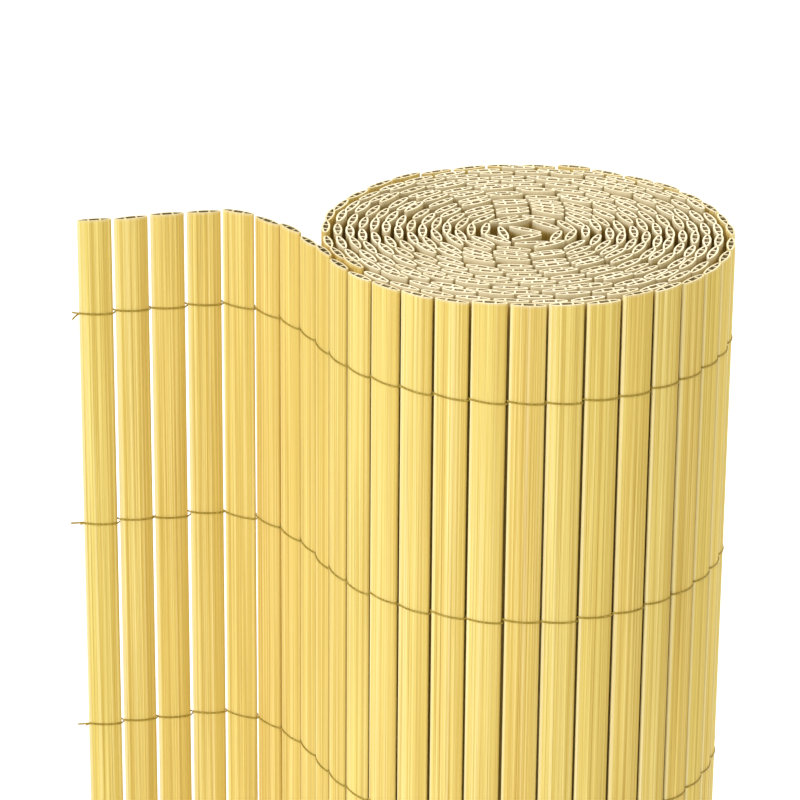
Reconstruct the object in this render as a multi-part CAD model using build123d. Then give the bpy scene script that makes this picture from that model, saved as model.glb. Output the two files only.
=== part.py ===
from build123d import *
import math
import os
import random

# A roll of cane screening: hollow flattened slats side by side, joined by rows
# of two twisted strands, wound up and standing on end with its free end open.
# Millimetres. The slats stand along Z, and the origin is on the floor, on a web
# of the innermost slat, at the middle of the roll.

# --- slat section (an extruded flattened tube with two webs) -----------------
SLAT_LENGTH = 900.0
SLAT_WIDTH = 17.0
SLAT_THICK = 4.4
TIP_RADIUS = 1.15
WALL = 0.65
WEB_AT = 2.9
WEB_THICK = 0.65

# --- stitching (a thread pulled flat: thin across the slats, taller along them) -
STRAND_THICK = 0.5
STRAND_HEIGHT = 0.8
STRAND_GAP = 0.02
STRAND_RISE = 0.45
ROW_COUNT = 8
FIRST_ROW = 49.0
ROW_SPACING = 114.0
LOOSE_END = 6.0

# --- how the mat lies (plan view, roll axis at 0, 0) --------------------------
PITCH = 18.2
TURN_PITCH = 5.95
TURN_UNEVEN = 0.4
CORE_APOTHEM = 30.0
CORE_GROWTH = 0.15
CORE_GAP_GROWTH = 0.09
CORE_STOP = 11.17
# the last slats fold sharply into the middle: turn in degrees, distance of the
# two edge centres, and direction from one to the other, from the slat before
CORE_FOLDS = [(72.2, 3.5, 52.8), (109.5, 3.97, 53.8), (124.4, 3.53, 60.5)]
CALM_SLATS = 40
FRONT_RADIUS = 102.7
FRONT_ANGLE = -85.56
FRONT_STEPS = 6
TILT = 1.6
RISE = 1.6
SEED = 11

# gaps between slats along the open end, from its free edge to the roll
OPEN_END = [
    (-221.4, 9.4), (-203.6, 13.0), (-185.8, 17.9), (-168.1, 22.9),
    (-150.1, 26.3), (-133.5, 19.1), (-120.4, 6.4), (-109.9, -8.3),
    (-101.8, -24.6), (-94.9, -41.4),
]

TIP_X = SLAT_WIDTH / 2 - TIP_RADIUS
FACE_RADIUS = (TIP_X**2 + (SLAT_THICK / 2) ** 2 - TIP_RADIUS**2) / (
    SLAT_THICK - 2 * TIP_RADIUS
)
FACE_DROP = FACE_RADIUS - SLAT_THICK / 2


def core_depth(a):
    return max(0.0, CORE_APOTHEM - a)


def next_gap(a, pitch, th, way):
    """The next gap along the spiral, from apothem a and angle th."""
    r = math.hypot(a, pitch / 2)
    turn = 2 * math.asin(min(1.0, pitch / 2 / r))
    for _ in range(8):
        p = TURN_PITCH - TURN_UNEVEN * math.cos(th) + core_depth(a) * CORE_GROWTH
        a2 = a - way * p * turn / (2 * math.pi)
        if a2 < 0:
            return None
        pitch2 = PITCH + core_depth(a2) * CORE_GAP_GROWTH
        r2 = math.hypot(a2, pitch2 / 2)
        c = (r * r + r2 * r2 - pitch2**2) / (2 * r * r2)
        turn = math.acos(max(-1.0, min(1.0, c)))
    return a2, pitch2, th + way * turn


def gaps():
    """Plan points of the gaps, from the free edge to the middle of the roll."""
    a0 = math.sqrt(FRONT_RADIUS**2 - PITCH**2 / 4)
    th0 = math.radians(FRONT_ANGLE)

    def point(a, pitch, th):
        r = math.hypot(a, pitch / 2)
        return (r * math.cos(th), r * math.sin(th))

    s = (a0, PITCH, th0)
    before = []
    for _ in range(FRONT_STEPS):
        s = next_gap(*s, -1)
        before.append(point(*s))
    pts = list(OPEN_END) + before[::-1]
    s = (a0, PITCH, th0)
    while s is not None and s[0] >= CORE_STOP:
        pts.append(point(*s))
        s = next_gap(*s, 1)
    return pts


def slat_places():
    """(x, y, angle, rise) of each slat. Angles and rises are a little uneven."""
    pts = gaps()
    rnd = random.Random(SEED)
    out = []
    count = len(pts) - 1
    for i in range(count):
        (x0, y0), (x1, y1) = pts[i], pts[i + 1]
        tilt = rnd.uniform(-1, 1) * TILT
        up = rnd.random()
        if i < len(OPEN_END) or i > count - CALM_SLATS:
            tilt *= 0.4
        up = 0.0 if up < 0.45 else (up - 0.45) / 0.55 * RISE
        ang = math.atan2(y1 - y0, x1 - x0) + math.radians(tilt)
        out.append(((x0 + x1) / 2, (y0 + y1) / 2, ang, up))
    for fold, apart, way in CORE_FOLDS:
        x, y, ang, _ = out[-1]
        to = ang + math.radians(way)
        tx = x + TIP_X * math.cos(ang) + apart * math.cos(to)
        ty = y + TIP_X * math.sin(ang) + apart * math.sin(to)
        ang += math.radians(fold)
        out.append((tx + TIP_X * math.cos(ang), ty + TIP_X * math.sin(ang), ang, 0.0))
    x, y, ang, _ = out[-1]
    ox = x + WEB_AT * math.cos(ang)
    oy = y + WEB_AT * math.sin(ang)
    return [(px - ox, py - oy, pa, up) for px, py, pa, up in out]


# --- slat ---------------------------------------------------------------------
def arc(c, r, a0, a1, z=0.0):
    """Arc about c from angle a0 to a1 (radians), in the plane at height z."""
    p = [
        (c[0] + r * math.cos(a), c[1] + r * math.sin(a), z)
        for a in (a0, (a0 + a1) / 2, a1)
    ]
    return Edge.make_three_point_arc(*p)


def line(p, q, z=0.0):
    return Edge.make_line((p[0], p[1], z), (q[0], q[1], z))


def slat_section():
    lean = math.atan2(FACE_DROP, TIP_X)
    top, low = (0.0, -FACE_DROP), (0.0, FACE_DROP)

    def skin(inset):
        r, t = FACE_RADIUS - inset, TIP_RADIUS - inset
        return Wire(
            [
                arc(top, r, lean, math.pi / 2),
                arc(top, r, math.pi / 2, math.pi - lean),
                arc((-TIP_X, 0), t, math.pi - lean, math.pi + lean),
                arc(low, r, math.pi + lean, 1.5 * math.pi),
                arc(low, r, 1.5 * math.pi, 2 * math.pi - lean),
                arc((TIP_X, 0), t, -lean, lean),
            ]
        )

    ri = FACE_RADIUS - WALL
    ti = TIP_RADIUS - WALL
    inner = WEB_AT - WEB_THICK / 2
    outer = WEB_AT + WEB_THICK / 2
    am, ae = math.acos(inner / ri), math.acos(outer / ri)

    def at(c, a):
        return (c[0] + ri * math.cos(a), c[1] + ri * math.sin(a))

    middle = Wire(
        [
            arc(top, ri, am, math.pi - am),
            line(at(top, math.pi - am), at(low, math.pi + am)),
            arc(low, ri, math.pi + am, 2 * math.pi - am),
            line(at(low, 2 * math.pi - am), at(top, am)),
        ]
    )
    right = Wire(
        [
            arc(top, ri, lean, ae),
            line(at(top, ae), at(low, 2 * math.pi - ae)),
            arc(low, ri, 2 * math.pi - ae, 2 * math.pi - lean),
            arc((TIP_X, 0), ti, -lean, lean),
        ]
    )
    left = Wire(
        [
            arc(top, ri, math.pi - ae, math.pi - lean),
            arc((-TIP_X, 0), ti, math.pi - lean, math.pi + lean),
            arc(low, ri, math.pi + lean, math.pi + ae),
            line(at(low, math.pi + ae), at(top, math.pi - ae)),
        ]
    )
    return Face(skin(0.0), [middle, right, left])


# --- strand -------------------------------------------------------------------
def near(angle, ref):
    """The same angle, within half a turn of ref."""
    return ref + math.remainder(angle - ref, 2 * math.pi)


def strand_path(places, first_side):
    """One strand in plan: an arc over one face, then a bend through the gap made
    of two equal arcs, then an arc under the next face. Returns the free end's
    two points and the arcs as (centre, radius, from angle, to angle)."""
    rf = FACE_RADIUS + STRAND_THICK / 2 + STRAND_GAP
    rt = TIP_RADIUS + STRAND_THICK / 2 + STRAND_GAP
    lean = math.atan2(FACE_DROP, TIP_X)
    arcs = []
    free = enter = None
    for i, (x, y, a, _) in enumerate(places):
        s = first_side if i % 2 == 0 else -first_side
        fx = x + s * FACE_DROP * math.sin(a)
        fy = y - s * FACE_DROP * math.cos(a)
        a_in, a_out = a + s * (math.pi - lean), a + s * lean
        if enter is None:
            px, py = fx + rf * math.cos(a_in), fy + rf * math.sin(a_in)
            d = a_in + s * math.pi / 2
            free = ((px + LOOSE_END * math.cos(d), py + LOOSE_END * math.sin(d)), (px, py))
        else:
            c, r, start = enter
            arcs.append((c, r, near(start, a_in), a_in))
        arcs.append(((fx, fy), rf, a_in, a_out))
        if i + 1 == len(places):
            break
        # both bends keep touching their faces as they grow, until they meet
        bx, by, b, _ = places[i + 1]
        b_in = b - s * (math.pi - lean)
        t1 = (x + TIP_X * math.cos(a), y + TIP_X * math.sin(a))
        t2 = (bx - TIP_X * math.cos(b), by - TIP_X * math.sin(b))
        vx, vy = t2[0] - t1[0], t2[1] - t1[1]
        wx = math.cos(a_out) - math.cos(b_in)
        wy = math.sin(a_out) - math.sin(b_in)
        qa = wx * wx + wy * wy - 4
        qb = 2 * (vx * wx + vy * wy) - 8 * rt
        qc = vx * vx + vy * vy - 4 * rt * rt
        root = math.sqrt(qb * qb - 4 * qa * qc)
        grow = min(g for g in (2 * qc / (-qb + root), 2 * qc / (-qb - root)) if g > 0)
        r = rt + grow
        c1 = (t1[0] - grow * math.cos(a_out), t1[1] - grow * math.sin(a_out))
        c2 = (t2[0] - grow * math.cos(b_in), t2[1] - grow * math.sin(b_in))
        leave = math.atan2(c2[1] - c1[1], c2[0] - c1[0])
        arcs.append((c1, r, a_out, near(leave, a_out)))
        enter = (c2, r, leave + math.pi)
    return free, arcs


def strand(places, first_side):
    """The strand's path widened to its thickness and raised to its height."""
    free, arcs = strand_path(places, first_side)
    h = STRAND_THICK / 2
    (x0, y0), (x1, y1) = free
    along = math.hypot(x1 - x0, y1 - y0)
    nx, ny = -(y1 - y0) / along * h, (x1 - x0) / along * h
    length = along
    left = [line((x0 + nx, y0 + ny), (x1 + nx, y1 + ny))]
    right = [line((x0 - nx, y0 - ny), (x1 - nx, y1 - ny))]
    for c, r, a0, a1 in arcs:
        way = 1 if a1 > a0 else -1
        left.append(arc(c, r - way * h, a0, a1))
        right.append(arc(c, r + way * h, a0, a1))
        length += r * abs(a1 - a0)
    c, r, _, a1 = arcs[-1]
    ends = [
        line((x0 + nx, y0 + ny), (x0 - nx, y0 - ny)),
        line(*[(c[0] + q * math.cos(a1), c[1] + q * math.sin(a1)) for q in (r - h, r + h)]),
    ]
    flat = Face(Wire(left + right + ends))
    made = Solid.extrude(flat, Vector(0, 0, STRAND_HEIGHT))
    area = STRAND_THICK * STRAND_HEIGHT
    print("strand length", round(length, 1), "volume", round(made.volume, 1),
          "of", round(length * area, 1), "least radius", round(min(q[1] for q in arcs), 2))
    return made


# --- the mat ------------------------------------------------------------------
def turn_numbers(places):
    """Which turn of the roll each slat is in, from the outside. 0 is the open end."""
    middle = (places[-1][0], places[-1][1])
    out, total, last = [], 0.0, None
    for i, (x, y, _, _) in enumerate(places):
        if i < len(OPEN_END):
            out.append(0)
            continue
        th = math.atan2(y - middle[1], x - middle[0])
        if last is not None:
            total += math.remainder(th - last, 2 * math.pi)
        last = th
        out.append(1 + int(total / (2 * math.pi)))
    return out


def main():
    os.makedirs("parts", exist_ok=True)
    places = slat_places()
    turns = turn_numbers(places)
    slat = Solid.extrude(slat_section(), Vector(0, 0, SLAT_LENGTH))
    groups = {}
    for i, ((x, y, a, up), turn) in enumerate(zip(places, turns)):
        name = f"free_slat_{i + 1:02d}" if turn == 0 else f"turn_{turn:02d}_slats"
        placed = slat.moved(Location((x, y, up), (0, 0, math.degrees(a))))
        groups.setdefault(name, []).append(placed)
    for name, solids in groups.items():
        made = solids[0] if len(solids) == 1 else Compound(solids)
        export_step(made, f"parts/{name}.step", write_pcurves=False)
    print("slats", len(places), "in", len(groups), "nodes, each", round(slat.volume, 1))
    print({name: len(solids) for name, solids in groups.items()})

    pair = (("a", strand(places, 1), 1), ("b", strand(places, -1), -1))
    for row in range(ROW_COUNT):
        z = SLAT_LENGTH - FIRST_ROW - row * ROW_SPACING
        for tag, made, side in pair:
            export_step(
                made.moved(Location((0, 0, z + side * STRAND_RISE - STRAND_HEIGHT / 2))),
                f"parts/row_{row + 1}_strand_{tag}.step", write_pcurves=False,
            )
    x, y, a, _ = places[-1]
    print("middle slat", round(x, 3), round(y, 3), round(math.degrees(a), 3))
    xs = [p[0] for p in places]
    ys = [p[1] for p in places]
    print("slat middles", round(min(xs), 1), round(max(xs), 1), round(min(ys), 1), round(max(ys), 1))


if __name__ == "__main__":
    main()
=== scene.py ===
import bpy
import math
import random
import numpy as np
from mathutils import Matrix, Vector


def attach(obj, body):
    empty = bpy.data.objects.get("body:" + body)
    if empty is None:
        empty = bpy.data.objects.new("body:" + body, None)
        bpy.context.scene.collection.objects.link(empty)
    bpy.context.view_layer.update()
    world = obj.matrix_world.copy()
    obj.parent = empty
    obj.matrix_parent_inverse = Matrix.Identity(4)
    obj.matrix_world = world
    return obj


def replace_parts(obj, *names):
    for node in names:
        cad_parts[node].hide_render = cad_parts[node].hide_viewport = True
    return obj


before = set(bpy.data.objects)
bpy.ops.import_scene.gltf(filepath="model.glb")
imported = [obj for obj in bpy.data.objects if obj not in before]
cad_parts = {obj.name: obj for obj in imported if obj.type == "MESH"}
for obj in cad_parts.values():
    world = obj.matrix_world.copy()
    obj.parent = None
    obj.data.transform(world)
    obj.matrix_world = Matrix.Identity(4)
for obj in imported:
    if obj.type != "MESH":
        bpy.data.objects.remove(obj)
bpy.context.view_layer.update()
MM = 0.001

# ---------------------------------------------------------------- layout (mm)
SLAT_LENGTH = 900.0
SLAT_WIDTH = 17.0
SLAT_THICK = 4.4
TIP_RADIUS = 1.15
WALL = 0.95
WEB_AT = 2.9
WEB_THICK = 1.0
STRAND_THICK = 0.5
STRAND_HEIGHT = 0.98
STRAND_GAP = 0.02
ROW_COUNT = 8
FIRST_ROW = 49.0
ROW_SPACING = 114.0
PITCH = 18.2
TURN_PITCH = 5.95
TURN_UNEVEN = 0.4
CORE_APOTHEM = 30.0
CORE_GROWTH = 0.15
CORE_GAP_GROWTH = 0.09
CORE_STOP = 11.17
CORE_FOLDS = [(72.2, 3.5, 52.8), (109.5, 3.97, 53.8), (124.4, 3.53, 60.5)]
CALM_SLATS = 40
FRONT_RADIUS = 102.7
FRONT_ANGLE = -85.56
FRONT_STEPS = 6
TILT = 1.6
RISE = 1.6
SEED = 11
OPEN_END = [
    (-221.4, 9.4), (-203.6, 13.0), (-185.8, 17.9), (-168.1, 22.9),
    (-150.1, 26.3), (-133.5, 19.1), (-120.4, 6.4), (-109.9, -8.3),
    (-101.8, -24.6), (-94.9, -41.4),
]
TIP_X = SLAT_WIDTH / 2 - TIP_RADIUS
FACE_RADIUS = (TIP_X**2 + (SLAT_THICK / 2) ** 2 - TIP_RADIUS**2) / (
    SLAT_THICK - 2 * TIP_RADIUS
)
FACE_DROP = FACE_RADIUS - SLAT_THICK / 2


def core_depth(a):
    return max(0.0, CORE_APOTHEM - a)


def next_gap(a, pitch, th, way):
    r = math.hypot(a, pitch / 2)
    turn = 2 * math.asin(min(1.0, pitch / 2 / r))
    for _ in range(8):
        p = TURN_PITCH - TURN_UNEVEN * math.cos(th) + core_depth(a) * CORE_GROWTH
        a2 = a - way * p * turn / (2 * math.pi)
        if a2 < 0:
            return None
        pitch2 = PITCH + core_depth(a2) * CORE_GAP_GROWTH
        r2 = math.hypot(a2, pitch2 / 2)
        c = (r * r + r2 * r2 - pitch2**2) / (2 * r * r2)
        turn = math.acos(max(-1.0, min(1.0, c)))
    return a2, pitch2, th + way * turn


def gaps():
    a0 = math.sqrt(FRONT_RADIUS**2 - PITCH**2 / 4)
    th0 = math.radians(FRONT_ANGLE)

    def point(a, pitch, th):
        r = math.hypot(a, pitch / 2)
        return (r * math.cos(th), r * math.sin(th))

    s = (a0, PITCH, th0)
    before = []
    for _ in range(FRONT_STEPS):
        s = next_gap(*s, -1)
        before.append(point(*s))
    pts = list(OPEN_END) + before[::-1]
    s = (a0, PITCH, th0)
    while s is not None and s[0] >= CORE_STOP:
        pts.append(point(*s))
        s = next_gap(*s, 1)
    return pts


def slat_places():
    """(x, y, angle, rise) of each slat, and the roll axis in the part's frame."""
    pts = gaps()
    rnd = random.Random(SEED)
    out = []
    count = len(pts) - 1
    for i in range(count):
        (x0, y0), (x1, y1) = pts[i], pts[i + 1]
        tilt = rnd.uniform(-1, 1) * TILT
        up = rnd.random()
        if i < len(OPEN_END) or i > count - CALM_SLATS:
            tilt *= 0.4
        up = 0.0 if up < 0.45 else (up - 0.45) / 0.55 * RISE
        ang = math.atan2(y1 - y0, x1 - x0) + math.radians(tilt)
        out.append(((x0 + x1) / 2, (y0 + y1) / 2, ang, up))
    for fold, apart, way in CORE_FOLDS:
        x, y, ang, _ = out[-1]
        to = ang + math.radians(way)
        tx = x + TIP_X * math.cos(ang) + apart * math.cos(to)
        ty = y + TIP_X * math.sin(ang) + apart * math.sin(to)
        ang += math.radians(fold)
        out.append((tx + TIP_X * math.cos(ang), ty + TIP_X * math.sin(ang), ang, 0.0))
    x, y, ang, _ = out[-1]
    ox = x + WEB_AT * math.cos(ang)
    oy = y + WEB_AT * math.sin(ang)
    return [(px - ox, py - oy, pa, up) for px, py, pa, up in out], (-ox, -oy)


def turn_numbers(places):
    middle = (places[-1][0], places[-1][1])
    out, total, last = [], 0.0, None
    for i, (x, y, _, _) in enumerate(places):
        if i < len(OPEN_END):
            out.append(0)
            continue
        th = math.atan2(y - middle[1], x - middle[0])
        if last is not None:
            total += math.remainder(th - last, 2 * math.pi)
        last = th
        out.append(1 + int(total / (2 * math.pi)))
    return out


PLACES, AXIS = slat_places()
TURNS = turn_numbers(PLACES)


class Bow:
    """How one slat strays from straight: a sideways wave and a small twist."""

    def __init__(self, i):
        rnd = random.Random(3000 + i)
        self.side = rnd.uniform(-1, 1) * 0.22
        self.phase = rnd.uniform(0, 6.28)
        self.wave = rnd.uniform(0.8, 2.2)
        self.twist = rnd.uniform(-1, 1) * 0.003

    def at(self, z):
        t = z / SLAT_LENGTH
        return (self.side * math.sin(self.wave * math.pi * t + self.phase),
                self.twist * (t - 0.5))


BOWS = [Bow(i) for i in range(len(PLACES))]

# ------------------------------------------------------------------ materials
def new_material(name):
    m = bpy.data.materials.new(name)
    m.use_nodes = True
    nt = m.node_tree
    nt.nodes.clear()
    out = nt.nodes.new("ShaderNodeOutputMaterial")
    bsdf = nt.nodes.new("ShaderNodeBsdfPrincipled")
    nt.links.new(bsdf.outputs["BSDF"], out.inputs["Surface"])
    return m, nt, bsdf


def node(nt, kind, **values):
    n = nt.nodes.new(kind)
    for k, v in values.items():
        if hasattr(n, k):
            setattr(n, k, v)
        else:
            n.inputs[k].default_value = v
    return n


def ramp(nt, fac, stops):
    n = nt.nodes.new("ShaderNodeValToRGB")
    els = n.color_ramp.elements
    while len(els) > 1:
        els.remove(els[-1])
    els[0].position, els[0].color = stops[0][0], (*stops[0][1], 1)
    for p, c in stops[1:]:
        e = els.new(p)
        e.color = (*c, 1)
    nt.links.new(fac, n.inputs["Fac"])
    return n.outputs["Color"]


def mix(nt, fac, a, b, kind="MIX"):
    n = nt.nodes.new("ShaderNodeMix")
    n.data_type = "RGBA"
    n.blend_type = kind
    for socket, value in ((n.inputs["Factor"], fac), (n.inputs["A"], a), (n.inputs["B"], b)):
        if isinstance(value, bpy.types.NodeSocket):
            nt.links.new(value, socket)
        elif isinstance(value, (int, float)):
            socket.default_value = value
        else:
            socket.default_value = (*value, 1)
    return n.outputs["Result"]


def math_node(nt, op, a, b=None, clamp=False):
    n = nt.nodes.new("ShaderNodeMath")
    n.operation = op
    n.use_clamp = clamp
    for i, value in enumerate((a, b)):
        if value is None:
            continue
        if isinstance(value, bpy.types.NodeSocket):
            nt.links.new(value, n.inputs[i])
        else:
            n.inputs[i].default_value = value
    return n.outputs[0]


def scaled(nt, vector, scale):
    n = nt.nodes.new("ShaderNodeVectorMath")
    n.operation = "MULTIPLY"
    nt.links.new(vector, n.inputs[0])
    n.inputs[1].default_value = scale
    return n.outputs[0]


def span(nt, value, start, end):
    """0 at start, 1 at end, eased in between."""
    n = nt.nodes.new("ShaderNodeMapRange")
    n.interpolation_type = "SMOOTHSTEP"
    n.inputs["From Min"].default_value = start
    n.inputs["From Max"].default_value = end
    nt.links.new(value, n.inputs["Value"])
    return n.outputs["Result"]


def noise(nt, vector, scale, detail=2.0, rough=0.5):
    n = nt.nodes.new("ShaderNodeTexNoise")
    n.inputs["Scale"].default_value = scale
    n.inputs["Detail"].default_value = detail
    n.inputs["Roughness"].default_value = rough
    nt.links.new(vector, n.inputs["Vector"])
    return n.outputs["Fac"]


def slat_material():
    m, nt, bsdf = new_material("cane_skin")
    # lay is (mm across the face, mm up the slat, a number for each face)
    lay = node(nt, "ShaderNodeAttribute", attribute_name="lay").outputs["Vector"]
    tone = node(nt, "ShaderNodeAttribute", attribute_name="tone").outputs["Fac"]
    pale = node(nt, "ShaderNodeAttribute", attribute_name="pale").outputs["Fac"]
    broad = noise(nt, scaled(nt, lay, (0.36, 0.0012, 1.0)), 1.0, 1.0, 0.5)
    fine = noise(nt, scaled(nt, lay, (1.15, 0.0022, 1.0)), 1.0, 2.0, 0.6)
    thread = noise(nt, scaled(nt, lay, (3.1, 0.006, 1.0)), 1.0, 1.0, 0.5)
    grain = noise(nt, scaled(nt, lay, (9.0, 0.05, 1.0)), 1.0, 2.0, 0.6)
    patch = noise(nt, scaled(nt, lay, (0.12, 0.010, 1.0)), 1.0, 2.0, 0.5)
    base = ramp(nt, broad, [
        (0.34, (0.655, 0.465, 0.122)), (0.46, (0.765, 0.588, 0.164)),
        (0.56, (0.83, 0.665, 0.205)), (0.68, (0.88, 0.735, 0.285))])
    streak = ramp(nt, fine, [
        (0.34, (0.59, 0.408, 0.10)), (0.45, (0.755, 0.58, 0.16)),
        (0.55, (0.845, 0.685, 0.218)), (0.66, (0.955, 0.84, 0.43))])
    colour = mix(nt, 0.55, base, streak)
    line = ramp(nt, thread, [
        (0.30, (0.62, 0.525, 0.37)), (0.43, (0.955, 0.94, 0.91)), (0.58, (1, 1, 1)), (0.72, (1.0, 1.0, 1.0))])
    colour = mix(nt, 0.75, colour, line, "MULTIPLY")
    glint = ramp(nt, thread, [(0.60, (0, 0, 0)), (0.74, (0.16, 0.15, 0.11))])
    colour = mix(nt, 1.0, colour, glint, "ADD")
    fuzz = ramp(nt, grain, [(0.3, (0.94, 0.92, 0.88)), (0.7, (1.0, 1.0, 1.0))])
    colour = mix(nt, 0.8, colour, fuzz, "MULTIPLY")
    soft = ramp(nt, patch, [(0.3, (0.95, 0.93, 0.89)), (0.7, (1.0, 1.0, 1.0))])
    colour = mix(nt, 1.0, colour, soft, "MULTIPLY")
    each = ramp(nt, tone, [
        (0.0, (0.985, 0.945, 0.90)), (0.3, (1.0, 0.985, 0.97)),
        (0.7, (1.0, 1.0, 1.0)), (1.0, (0.985, 0.99, 0.92))])
    colour = mix(nt, 1.0, colour, each, "MULTIPLY")
    # painted light: each slat is pale along one edge, the one towards the key light (painted highlight), and plain tan
    # along the other (painted shade)
    sep = nt.nodes.new("ShaderNodeSeparateXYZ")
    nt.links.new(lay, sep.inputs[0])
    wander = math_node(nt, "ADD", sep.outputs[0], math_node(nt, "MULTIPLY", math_node(nt, "SUBTRACT", patch, 0.5), 2.0))
    # painted shade: the side of each slat away from the key light is darkened to plain tan
    painted_shade_side = span(nt, wander, 1.0, 6.5)
    colour = mix(nt, math_node(nt, "MULTIPLY", painted_shade_side, 0.34), colour, (0.70, 0.525, 0.145))
    colour = mix(nt, painted_shade_side, colour, mix(nt, 1.0, colour, (0.93, 0.905, 0.84), "MULTIPLY"))
    # painted highlight: cream along the edge of each slat that faces the key light
    painted_highlight_edge = span(nt, sep.outputs[0], -6.7, -7.9)
    colour = mix(nt, math_node(nt, "MULTIPLY", painted_highlight_edge, 0.55), colour, (0.93, 0.83, 0.47))
    # painted shade: the turns inside are a shade deeper, standing in for the shade between the turns, so that the gaps
    # between them read dark
    within = span(nt, pale, 0.4, 0.7)
    painted_gap_shade = math_node(nt, "MULTIPLY", within, 0.6)
    colour = mix(nt, painted_gap_shade, colour, mix(nt, 1.0, colour, (0.42, 0.35, 0.25), "MULTIPLY"))
    # painted highlight: pale just below each cut, where the rim catches the light from above; on the turns inside this
    # also lifts the painted shade near the top
    low = math_node(nt, "MULTIPLY", span(nt, sep.outputs[1], SLAT_LENGTH - 4.5, SLAT_LENGTH - 0.5),
                    math_node(nt, "MULTIPLY", within, 0.85))
    painted_rim_highlight = math_node(nt, "MULTIPLY", span(nt, sep.outputs[1], SLAT_LENGTH - 1.5, SLAT_LENGTH - 0.4), 0.3)
    colour = mix(nt, math_node(nt, "MAXIMUM", low, painted_rim_highlight), colour, (0.79, 0.70, 0.475))
    nt.links.new(colour, bsdf.inputs["Base Color"])
    rough = nt.nodes.new("ShaderNodeMapRange")
    rough.inputs["To Min"].default_value = 0.5
    rough.inputs["To Max"].default_value = 0.66
    nt.links.new(fine, rough.inputs["Value"])
    nt.links.new(rough.outputs["Result"], bsdf.inputs["Roughness"])
    height = math_node(nt, "ADD", math_node(nt, "MULTIPLY", fine, 0.65), math_node(nt, "MULTIPLY", thread, 0.35))
    bump = node(nt, "ShaderNodeBump")
    bump.inputs["Strength"].default_value = 0.9
    bump.inputs["Distance"].default_value = 0.00022
    nt.links.new(height, bump.inputs["Height"])
    nt.links.new(bump.outputs["Normal"], bsdf.inputs["Normal"])
    bsdf.inputs["IOR"].default_value = 1.5
    bsdf.inputs["Specular IOR Level"].default_value = 0.02
    return m


def cut_material():
    m, nt, bsdf = new_material("cane_cut_end")
    lay = node(nt, "ShaderNodeAttribute", attribute_name="lay").outputs["Vector"]
    tone = node(nt, "ShaderNodeAttribute", attribute_name="tone").outputs["Fac"]
    grain = noise(nt, scaled(nt, lay, (1.3, 1.0, 1.0)), 1.0, 3.0, 0.6)
    colour = ramp(nt, grain, [
        (0.32, (0.71, 0.615, 0.395)), (0.5, (0.80, 0.72, 0.505)), (0.68, (0.865, 0.80, 0.615))])
    each = ramp(nt, tone, [(0.0, (0.88, 0.86, 0.78)), (0.6, (1, 1, 1)), (1.0, (1, 1, 0.97))])
    colour = mix(nt, 1.0, colour, each, "MULTIPLY")
    # the cuts of the free end are duller than those of the roll
    pale = node(nt, "ShaderNodeAttribute", attribute_name="pale").outputs["Fac"]
    duller_free_end = ramp(nt, pale, [(0.0, (0.74, 0.68, 0.52)), (0.3, (0.92, 0.88, 0.78)), (0.6, (1, 1, 1))])
    colour = mix(nt, 1.0, colour, duller_free_end, "MULTIPLY")
    nt.links.new(colour, bsdf.inputs["Base Color"])
    rough = nt.nodes.new("ShaderNodeMapRange")
    rough.inputs["To Min"].default_value = 0.45
    rough.inputs["To Max"].default_value = 0.7
    nt.links.new(grain, rough.inputs["Value"])
    nt.links.new(rough.outputs["Result"], bsdf.inputs["Roughness"])
    bump = node(nt, "ShaderNodeBump")
    bump.inputs["Strength"].default_value = 0.3
    bump.inputs["Distance"].default_value = 0.0001
    nt.links.new(grain, bump.inputs["Height"])
    nt.links.new(bump.outputs["Normal"], bsdf.inputs["Normal"])
    return m


def inside_material():
    m, nt, bsdf = new_material("cane_inside")
    lay = node(nt, "ShaderNodeAttribute", attribute_name="lay").outputs["Vector"]
    grain = noise(nt, scaled(nt, lay, (0.9, 0.004, 1.0)), 1.0, 2.0, 0.5)
    pale = node(nt, "ShaderNodeAttribute", attribute_name="pale").outputs["Fac"]
    # painted shade: the chamber walls are a darker copy of the slat colour, standing in for the shade inside the tubes,
    # and darker still on the free slats
    colour = ramp(nt, grain, [(0.35, (0.44, 0.335, 0.165)), (0.65, (0.57, 0.455, 0.25))])
    painted_chamber_shade = ramp(nt, grain, [(0.35, (0.21, 0.165, 0.065)), (0.65, (0.27, 0.215, 0.09))])
    colour = mix(nt, span(nt, pale, 0.0, 0.6), painted_chamber_shade, colour)
    nt.links.new(colour, bsdf.inputs["Base Color"])
    bsdf.inputs["Roughness"].default_value = 0.55
    return m


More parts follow.
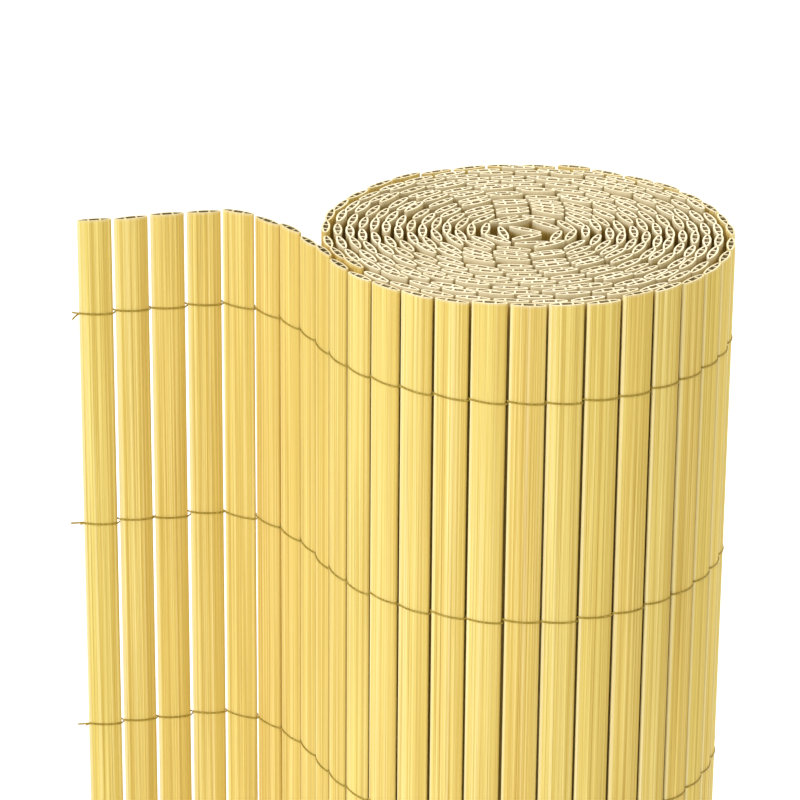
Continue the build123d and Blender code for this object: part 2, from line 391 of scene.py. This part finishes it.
def strand_material():
    m, nt, bsdf = new_material("twisted_thread")
    # lay is (mm along the thread, turns round it, a number for each thread)
    lay = node(nt, "ShaderNodeAttribute", attribute_name="lay").outputs["Vector"]
    sep = nt.nodes.new("ShaderNodeSeparateXYZ")
    nt.links.new(lay, sep.inputs[0])
    turns = math_node(nt, "ADD", math_node(nt, "MULTIPLY", sep.outputs[0], 0.5), math_node(nt, "MULTIPLY", sep.outputs[1], 2.0))
    ply = math_node(nt, "SINE", math_node(nt, "MULTIPLY", turns, 2 * math.pi))
    ply = math_node(nt, "ADD", math_node(nt, "MULTIPLY", ply, 0.5), 0.5)
    fibre = noise(nt, scaled(nt, lay, (1.1, 3.0, 1.0)), 1.0, 2.0, 0.6)
    colour = ramp(nt, fibre, [
        (0.3, (0.28, 0.185, 0.02)), (0.5, (0.41, 0.285, 0.036)), (0.72, (0.60, 0.45, 0.095))])
    colour = mix(nt, 0.35, colour, ramp(nt, ply, [(0.0, (0.45, 0.42, 0.35)), (0.5, (1, 1, 1)), (1.0, (1, 1, 1))]), "MULTIPLY")
    nt.links.new(colour, bsdf.inputs["Base Color"])
    bsdf.inputs["Roughness"].default_value = 0.42
    bsdf.inputs["Specular IOR Level"].default_value = 0.3
    bsdf.inputs["Specular Tint"].default_value = (0.95, 0.82, 0.48, 1)
    bump = node(nt, "ShaderNodeBump")
    bump.inputs["Strength"].default_value = 0.6
    bump.inputs["Distance"].default_value = 0.00015
    nt.links.new(ply, bump.inputs["Height"])
    nt.links.new(bump.outputs["Normal"], bsdf.inputs["Normal"])
    return m


SKIN, CUT, INSIDE, THREAD = slat_material(), cut_material(), inside_material(), strand_material()

# ---------------------------------------------------------------------- slats
LEAN = math.atan2(FACE_DROP, TIP_X)
FACE_HALF = math.pi / 2 - LEAN
INNER_R = FACE_RADIUS - WALL


class Section:
    """The slat's outline and its three chambers, as matching points."""

    def __init__(self, side_cols, mid_cols, tip_points, seed, flute):
        a = math.asin((WEB_AT - WEB_THICK / 2) / INNER_R)
        b = math.asin((WEB_AT + WEB_THICK / 2) / INNER_R)
        self.n1, self.n2 = side_cols, mid_cols
        self.cols = np.concatenate([
            np.linspace(FACE_HALF, b, side_cols + 1),
            np.linspace(a, -a, mid_cols + 1),
            np.linspace(-b, -FACE_HALF, side_cols + 1)])
        self.k = len(self.cols)
        self.m = tip_points
        rnd = random.Random(seed)
        x = FACE_RADIUS * np.sin(self.cols)
        self.flutes = []
        for _ in range(2):
            d = np.zeros_like(x)
            at = -7.4 + rnd.uniform(0, 0.8)
            while at < 7.4:
                w = rnd.uniform(0.22, 0.5)
                d += flute * rnd.uniform(0.35, 1.0) * np.exp(-(((x - at) / w) ** 2))
                at += rnd.uniform(1.0, 2.6)
            self.flutes.append(d)

    def outer(self, inset):
        s, c = np.sin(self.cols), np.cos(self.cols)
        rt = FACE_RADIUS - inset - self.flutes[0]
        rb = FACE_RADIUS - inset - self.flutes[1]
        top = np.stack([rt * s, rt * c - FACE_DROP], 1)
        bot = np.stack([rb * s, -(rb * c - FACE_DROP)], 1)
        r = TIP_RADIUS - inset
        al = np.linspace(math.pi - LEAN, math.pi + LEAN, self.m + 2)[1:-1]
        ar = np.linspace(-LEAN, LEAN, self.m + 2)[1:-1]
        left = np.stack([-TIP_X + r * np.cos(al), r * np.sin(al)], 1)
        right = np.stack([TIP_X + r * np.cos(ar), r * np.sin(ar)], 1)
        return np.concatenate([top, left, bot[::-1], right])

    def inner(self):
        s, c = np.sin(self.cols), np.cos(self.cols)
        top = np.stack([INNER_R * s, INNER_R * c - FACE_DROP], 1)
        bot = top * [1, -1]
        r = TIP_RADIUS - WALL
        al = np.linspace(math.pi - LEAN, math.pi + LEAN, self.m + 2)[1:-1]
        ar = np.linspace(-LEAN, LEAN, self.m + 2)[1:-1]
        left = np.stack([-TIP_X + r * np.cos(al), r * np.sin(al)], 1)
        right = np.stack([TIP_X + r * np.cos(ar), r * np.sin(ar)], 1)
        return np.concatenate([top, left, bot[::-1], right])

    def index(self):
        """Indices of top, left tip, bottom (right to left) and right tip in a ring."""
        k, m = self.k, self.m
        top = list(range(k))
        left = list(range(k, k + m))
        bot = list(range(k + m, 2 * k + m))[::-1]
        right = list(range(2 * k + m, 2 * k + 2 * m))
        return top, left, bot, right


def slat_faces(sec, rings):
    """Faces of one slat. Vertices: outer rings from the foot up, then the inner
    ring at the foot and the inner ring at the head."""
    n = 2 * sec.k + 2 * sec.m
    top, left, bot, right = sec.index()
    faces, mats = [], []

    def quad(a, b, c, d, mat):
        faces.append((a, b, c, d))
        mats.append(mat)

    for r in range(rings - 1):
        for j in range(n):
            q = (j + 1) % n
            quad(r * n + j, r * n + q, (r + 1) * n + q, (r + 1) * n + j, 0)
    low, high = rings * n, rings * n + n
    n1, n2, k = sec.n1, sec.n2, sec.k
    spans = (range(0, n1 + 1), range(n1 + 1, n1 + n2 + 2), range(n1 + n2 + 2, k))
    loops = (
        [top[i] for i in spans[0]] + [bot[i] for i in reversed(spans[0])] + right,
        [top[i] for i in spans[1]] + [bot[i] for i in reversed(spans[1])],
        [top[i] for i in spans[2]] + left + [bot[i] for i in reversed(spans[2])],
    )
    for loop in loops:
        for a, b in zip(loop, loop[1:] + loop[:1]):
            quad(low + b, low + a, high + a, high + b, 2)
    for o, i, flip in (((rings - 1) * n, high, False), (0, low, True)):
        cap = []
        webs = (n1, n1 + n2 + 1)
        for j in range(k - 1):
            cap.append((o + top[j], o + top[j + 1], i + top[j + 1], i + top[j]))
            cap.append((i + bot[j], i + bot[j + 1], o + bot[j + 1], o + bot[j]))
            if j in webs:
                cap.append((i + top[j], i + top[j + 1], i + bot[j + 1], i + bot[j]))
        for chain in ([bot[0]] + right + [top[0]], [top[-1]] + left + [bot[-1]]):
            for a, b in zip(chain, chain[1:]):
                cap.append((i + a, o + a, o + b, i + b))
        for f in cap:
            faces.append(f[::-1] if flip else f)
            mats.append(1)
    return faces, mats


FINE = [Section(25, 22, 7, 100 + s, 0.11) for s in range(8)]
PLAIN = [Section(7, 8, 4, 200 + s, 0.03) for s in range(3)]
FINE_Z = [112.0, 225.0, 337.0, 450.0, 562.0, 675.0, 787.0]


def build_slats(name, which):
    verts, faces, mats, lay, tone, pale = [], [], [], [], [], []
    base = 0
    for i in which:
        x, y, a, up = PLACES[i]
        rnd = random.Random(5000 + i)
        fine = TURNS[i] <= 1
        sec = rnd.choice(FINE if fine else PLAIN)
        if fine:
            zs = [0.0, 0.08] + FINE_Z + [SLAT_LENGTH - 0.08, SLAT_LENGTH]
        else:
            zs = [0.0, 0.08, SLAT_LENGTH - 0.08, SLAT_LENGTH]
        flip = rnd.random() < 0.5
        cut_x, cut_y = rnd.uniform(-1, 1) * 0.030, rnd.uniform(-1, 1) * 0.05
        seed, seed_back = rnd.uniform(0, 60), rnd.uniform(70, 130)
        shade = rnd.random()
        out0, out1 = sec.outer(0.08), sec.outer(0.0)
        inn = sec.inner()
        rings = len(zs)
        stack = []
        for r, z in enumerate(zs):
            ring = (out0 if r in (0, rings - 1) else out1)
            stack.append((ring, z, r == rings - 1 or r == rings - 2))
        stack.append((inn, 0.0, False))
        stack.append((inn, SLAT_LENGTH, True))
        n = len(out0)
        sign = -1.0 if flip else 1.0
        for ring, z, head in stack:
            px, py = ring[:, 0] * sign, ring[:, 1] * sign
            du, turn = BOWS[i].at(z)
            ang = a + turn
            zz = np.full(n, z + up)
            if head:
                zz = zz + cut_x * px + cut_y * py - 0.12
            c, s = math.cos(ang), math.sin(ang)
            gx = x + c * (px + du) - s * py
            gy = y + s * (px + du) + c * py
            verts.append(np.stack([gx, gy, zz], 1) * MM)
            sd = np.where(py >= 0, seed, seed_back)
            lay.append(np.stack([px, np.full(n, z), sd], 1))
            tone.append(np.full(n, shade))
            pale.append(np.full(n, (0.0, 0.3, 0.75)[min(TURNS[i], 2)]))
        f, mt = slat_faces(sec, rings)
        faces.append(np.array(f, dtype=np.int64) + base)
        mats.append(np.array(mt, dtype=np.int32))
        base += n * len(stack)
    return make_mesh(name, np.concatenate(verts), np.concatenate(faces),
                     np.concatenate(mats), np.concatenate(lay), np.concatenate(tone),
                     np.concatenate(pale), (SKIN, CUT, INSIDE))


def make_mesh(name, verts, faces, mats, lay, tone, pale, materials, sharp=True):
    me = bpy.data.meshes.new(name)
    nf = len(faces)
    me.vertices.add(len(verts))
    me.vertices.foreach_set("co", verts.astype(np.float32).ravel())
    me.loops.add(nf * 4)
    me.loops.foreach_set("vertex_index", faces.astype(np.int32).ravel())
    me.polygons.add(nf)
    me.polygons.foreach_set("loop_start", np.arange(0, nf * 4, 4, dtype=np.int32))
    me.polygons.foreach_set("material_index", mats.astype(np.int32))
    me.update(calc_edges=True)
    me.validate()
    v = me.attributes.new("lay", "FLOAT_VECTOR", "POINT")
    v.data.foreach_set("vector", lay.astype(np.float32).ravel())
    t = me.attributes.new("tone", "FLOAT", "POINT")
    t.data.foreach_set("value", tone.astype(np.float32))
    t = me.attributes.new("pale", "FLOAT", "POINT")
    t.data.foreach_set("value", pale.astype(np.float32))
    me.polygons.foreach_set("use_smooth", np.ones(nf, dtype=bool))
    if sharp:
        me.set_sharp_from_angle(angle=math.radians(38))
    for m in materials:
        me.materials.append(m)
    o = bpy.data.objects.new(name, me)
    bpy.context.scene.collection.objects.link(o)
    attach(o, "root")
    return o


groups = {}
for i, turn in enumerate(TURNS):
    n = f"free_slat_{i + 1:02d}" if turn == 0 else f"turn_{turn:02d}_slats"
    groups.setdefault(n, []).append(i)
for n, which in groups.items():
    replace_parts(build_slats(n + "_canes", which), n)

# -------------------------------------------------------------------- strands
LOOSE = {  # length, sideways bend and slope of the loose ends that show most
    (0, 1): (4.6, 0.1, -0.55), (0, -1): (5.0, -0.35, -0.05),
    (1, 1): (9.0, 0.25, 0.24), (1, -1): (3.0, -0.2, -0.3),
    (2, 1): (6.4, -0.2, 0.04), (2, -1): (2.4, 0.3, -0.4),
}


def strand_line(first_side, row, rnd):
    """Points of one thread: over a face, through the gap, behind the next slat.
    It falls across each face that it lies on in front and climbs behind."""
    rf = FACE_RADIUS + STRAND_THICK / 2 + STRAND_GAP
    rt = TIP_RADIUS + STRAND_THICK / 2 + STRAND_GAP
    level = SLAT_LENGTH - FIRST_ROW - row * ROW_SPACING
    spots = []
    for (x, y, a, _), bow in zip(PLACES, BOWS):
        du, turn = bow.at(level)
        spots.append((x + du * math.cos(a + turn), y + du * math.sin(a + turn), a + turn))
    pts = []

    def sweep(c, r, a0, a1, n):
        return [(c[0] + r * math.cos(q), c[1] + r * math.sin(q)) for q in np.linspace(a0, a1, n)]

    enter = None
    sway = rnd.uniform(-0.3, 0.3)
    for i, (x, y, a) in enumerate(spots):
        fine = TURNS[i] <= 1
        s = first_side if i % 2 == 0 else -first_side
        fx = x + s * FACE_DROP * math.sin(a)
        fy = y - s * FACE_DROP * math.cos(a)
        a_in, a_out = a + s * (math.pi - LEAN), a + s * LEAN
        front = s < 0
        piece = []
        if enter is None:
            px, py = fx + rf * math.cos(a_in), fy + rf * math.sin(a_in)
            d = a_in + s * math.pi / 2
            long, bend, lift = LOOSE.get(
                (row, first_side), (rnd.uniform(2.5, 8.0), rnd.uniform(-0.4, 0.4), rnd.uniform(-0.4, 0.4)))
            z0 = level + sway + (0.6 if front else -0.6)
            for q in np.linspace(1, 0, 8)[:-1]:
                w = d + bend * q
                pts.append((px + long * q * math.cos(w), py + long * q * math.sin(w),
                            z0 + lift * long * q * (0.4 + 0.6 * q), i))
        else:
            c, r, start = enter
            start = a_in + math.remainder(start - a_in, 2 * math.pi)
            piece += sweep(c, r, start, a_in, 5 if fine else 2)[:-1]
        piece += sweep((fx, fy), rf, a_in, a_out, 8 if fine else 3)
        if i + 1 < len(spots):
            bx, by, b = spots[i + 1]
            b_in = b - s * (math.pi - LEAN)
            t1 = (x + TIP_X * math.cos(a), y + TIP_X * math.sin(a))
            t2 = (bx - TIP_X * math.cos(b), by - TIP_X * math.sin(b))
            vx, vy = t2[0] - t1[0], t2[1] - t1[1]
            wx = math.cos(a_out) - math.cos(b_in)
            wy = math.sin(a_out) - math.sin(b_in)
            qa = wx * wx + wy * wy - 4
            qb = 2 * (vx * wx + vy * wy) - 8 * rt
            qc = vx * vx + vy * vy - 4 * rt * rt
            root = math.sqrt(qb * qb - 4 * qa * qc)
            grow = min(g for g in (2 * qc / (-qb + root), 2 * qc / (-qb - root)) if g > 0)
            r = rt + grow
            c1 = (t1[0] - grow * math.cos(a_out), t1[1] - grow * math.sin(a_out))
            c2 = (t2[0] - grow * math.cos(b_in), t2[1] - grow * math.sin(b_in))
            leave = math.atan2(c2[1] - c1[1], c2[0] - c1[0])
            leave = a_out + math.remainder(leave - a_out, 2 * math.pi)
            piece += sweep(c1, r, a_out, leave, 5 if fine else 2)[1:]
            enter = (c2, r, leave + math.pi)
        sway_next = max(-0.5, min(0.5, sway + rnd.uniform(-0.22, 0.22)))
        for px, py in piece:
            u = ((px - x) * math.cos(a) + (py - y) * math.sin(a)) / (PITCH / 2)
            v = (max(-1.0, min(1.0, u)) + 1) / 2
            # in front it drops soon after the gap and then hangs nearly level
            z = 0.6 - 1.2 * (1 - (1 - v) ** 1.6) if front else -0.6 + 1.2 * v**1.6
            pts.append((px, py, level + z + sway + (sway_next - sway) * v, i))
        sway = sway_next
    return pts


def build_strand(name, pts, seed):
    p = np.array([q[:3] for q in pts])
    keep = np.ones(len(p), dtype=bool)
    keep[1:] = np.linalg.norm(np.diff(p, axis=0), axis=1) > 1e-3
    p = p[keep]
    sides = 7
    d = np.gradient(p, axis=0)
    d /= np.linalg.norm(d, axis=1)[:, None]
    nx = np.cross(d, np.array([0.0, 0.0, 1.0]))
    nx /= np.linalg.norm(nx, axis=1)[:, None]
    ny = np.cross(nx, d)
    along = np.concatenate([[0], np.cumsum(np.linalg.norm(np.diff(p, axis=0), axis=1))])
    ang = np.arange(sides) * 2 * math.pi / sides
    wide = (STRAND_THICK / 2) * np.cos(ang)[None, :, None] * nx[:, None, :]
    tall = (STRAND_HEIGHT / 2) * np.sin(ang)[None, :, None] * ny[:, None, :]
    ring = p[:, None, :] + wide + tall
    n = len(p)
    verts = np.concatenate([ring.reshape(-1, 3), p[:1] - d[:1] * 0.15, p[-1:] + d[-1:] * 0.15]) * MM
    idx = np.arange(n * sides).reshape(n, sides)
    nxt = np.roll(idx, -1, axis=1)
    quads = np.stack([idx[:-1], nxt[:-1], nxt[1:], idx[1:]], -1).reshape(-1, 4)
    me = bpy.data.meshes.new(name)
    tris = [(n * sides, nxt[0, j], idx[0, j]) for j in range(sides)]
    tris += [(n * sides + 1, idx[-1, j], nxt[-1, j]) for j in range(sides)]
    me.from_pydata(verts.tolist(), [], quads[:, ::-1].tolist() + [t[::-1] for t in tris])
    lay = np.concatenate([
        np.stack([np.repeat(along, sides), np.tile(ang / (2 * math.pi), n), np.full(n * sides, seed)], 1),
        [[0, 0, seed], [along[-1], 0, seed]]])
    v = me.attributes.new("lay", "FLOAT_VECTOR", "POINT")
    v.data.foreach_set("vector", lay.astype(np.float32).ravel())
    me.polygons.foreach_set("use_smooth", np.ones(len(me.polygons), dtype=bool))
    me.materials.append(THREAD)
    o = bpy.data.objects.new(name, me)
    bpy.context.scene.collection.objects.link(o)
    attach(o, "root")
    return o


for row in range(ROW_COUNT):
    for tag, side in (("a", 1), ("b", -1)):
        rnd = random.Random(900 + row * 2 + (side < 0))
        pts = strand_line(side, row, rnd)
        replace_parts(build_strand(f"row_{row + 1}_thread_{tag}", pts, 3.7 * row + (side < 0) * 1.9),
                    f"row_{row + 1}_strand_{tag}")

# ------------------------------------------------------------- camera, light
ELEVATION, ROLL, FOCAL = 22.27984, 0.47303, 3999.446
EYE = (-60.799, -1848.447, SLAT_LENGTH + 667.191)
e, q = math.radians(ELEVATION), math.radians(ROLL)
ahead = Vector((0, math.cos(e), -math.sin(e)))
right, up = Vector((1, 0, 0)), Vector((0, math.sin(e), math.cos(e)))
r2 = right * math.cos(q) + up * math.sin(q)
u2 = up * math.cos(q) - right * math.sin(q)
cam_data = bpy.data.cameras.new("camera")
cam_data.sensor_width = 36.0
cam_data.lens = FOCAL / 800 * 36.0
cam_data.clip_start, cam_data.clip_end = 0.05, 100
cam = bpy.data.objects.new("camera", cam_data)
bpy.context.scene.collection.objects.link(cam)
place = Vector((EYE[0] + AXIS[0], EYE[1] + AXIS[1], EYE[2])) * MM
m = Matrix((r2, u2, -ahead)).transposed().to_4x4()
m.translation = place
cam.matrix_world = m
bpy.context.scene.camera = cam


def floor():
    me = bpy.data.meshes.new("floor")
    s = 14.0
    me.from_pydata([(-s, -s, 0), (s, -s, 0), (s, s, 0), (-s, s, 0)], [], [(0, 1, 2, 3)])
    o = bpy.data.objects.new("floor", me)
    o.location.z = -0.0004
    bpy.context.scene.collection.objects.link(o)
    mat, nt, bsdf = new_material("floor_pale")
    co = node(nt, "ShaderNodeTexCoord").outputs["Object"]
    n = noise(nt, co, 3.0, 3.0, 0.5)
    nt.links.new(ramp(nt, n, [(0.3, (0.925, 0.922, 0.915)), (0.7, (0.95, 0.948, 0.943))]), bsdf.inputs["Base Color"])
    bsdf.inputs["Roughness"].default_value = 0.8
    me.materials.append(mat)


floor()


def area(name, where, aim, size, power, colour):
    d = bpy.data.lights.new(name, "AREA")
    d.shape = "RECTANGLE"
    d.size, d.size_y = size
    d.energy = power
    d.color = colour
    o = bpy.data.objects.new(name, d)
    o.location = where
    o.rotation_mode = "QUATERNION"
    o.rotation_quaternion = (Vector(aim) - Vector(where)).to_track_quat("-Z", "Y")
    bpy.context.scene.collection.objects.link(o)
    return o


area("key", (-2.9, -2.8, 2.7), (0, 0, 0.6), (1.4, 1.4), 80, (0.955, 0.975, 1.10))
area("side", (-3.3, -0.7, 1.2), (0, 0, 0.7), (0.8, 2.2), 3, (0.96, 0.98, 1.12))
area("top", (0.6, 2.2, 4.4), (0.0, 1.6, 0.0), (3.6, 3.0), 162, (1.0, 0.995, 0.985))
world = bpy.data.worlds.new("studio")
world.use_nodes = True
bg = world.node_tree.nodes["Background"]
# the room is a little warmer and dimmer on the right
wnt = world.node_tree
way = wnt.nodes.new("ShaderNodeSeparateXYZ")
wnt.links.new(wnt.nodes.new("ShaderNodeTexCoord").outputs["Generated"], way.inputs[0])
wnt.links.new(mix(wnt, span(wnt, way.outputs[0], -0.6, 0.8), (0.985, 0.995, 1.0), (0.94, 0.905, 0.735)), bg.inputs["Color"])
bg.inputs["Strength"].default_value = 0.815
bpy.context.scene.world = world
bpy.context.scene.view_settings.view_transform = "Standard"
bpy.context.scene.view_settings.look = "None"
